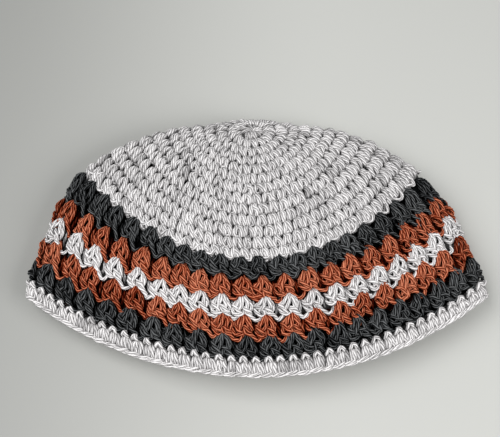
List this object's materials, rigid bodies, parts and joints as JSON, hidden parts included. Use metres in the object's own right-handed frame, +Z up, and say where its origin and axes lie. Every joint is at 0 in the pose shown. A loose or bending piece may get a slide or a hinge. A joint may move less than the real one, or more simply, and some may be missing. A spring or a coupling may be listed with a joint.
{
  "type": "crocheted kippah",
  "caption": "Deep crocheted cotton kippah with a white crown, charcoal, rust and white stripes and a white rim, lying folded flat.",
  "frame": {"origin": "centre of the bottom of the bounding box, on the surface that the cap lies on", "axes": "+X from the left fold to the right fold, -Y towards the open rim and +Y towards the folded crown, +Z up through the front wall"},
  "size_m": [0.24, 0.1466, 0.038],
  "materials": {
    "white_cotton": "matte crocheted cotton yarn",
    "charcoal_cotton": "matte crocheted cotton yarn",
    "rust_cotton": "matte crocheted cotton yarn"
  },
  "bodies": {
    "root": {"crown": "white_cotton", "charcoal_round_upper": "charcoal_cotton", "rust_round_upper": "rust_cotton", "white_round": "white_cotton", "rust_round_lower": "rust_cotton", "charcoal_round_lower": "charcoal_cotton", "rim_band": "white_cotton"}
  },
  "joints": []
}
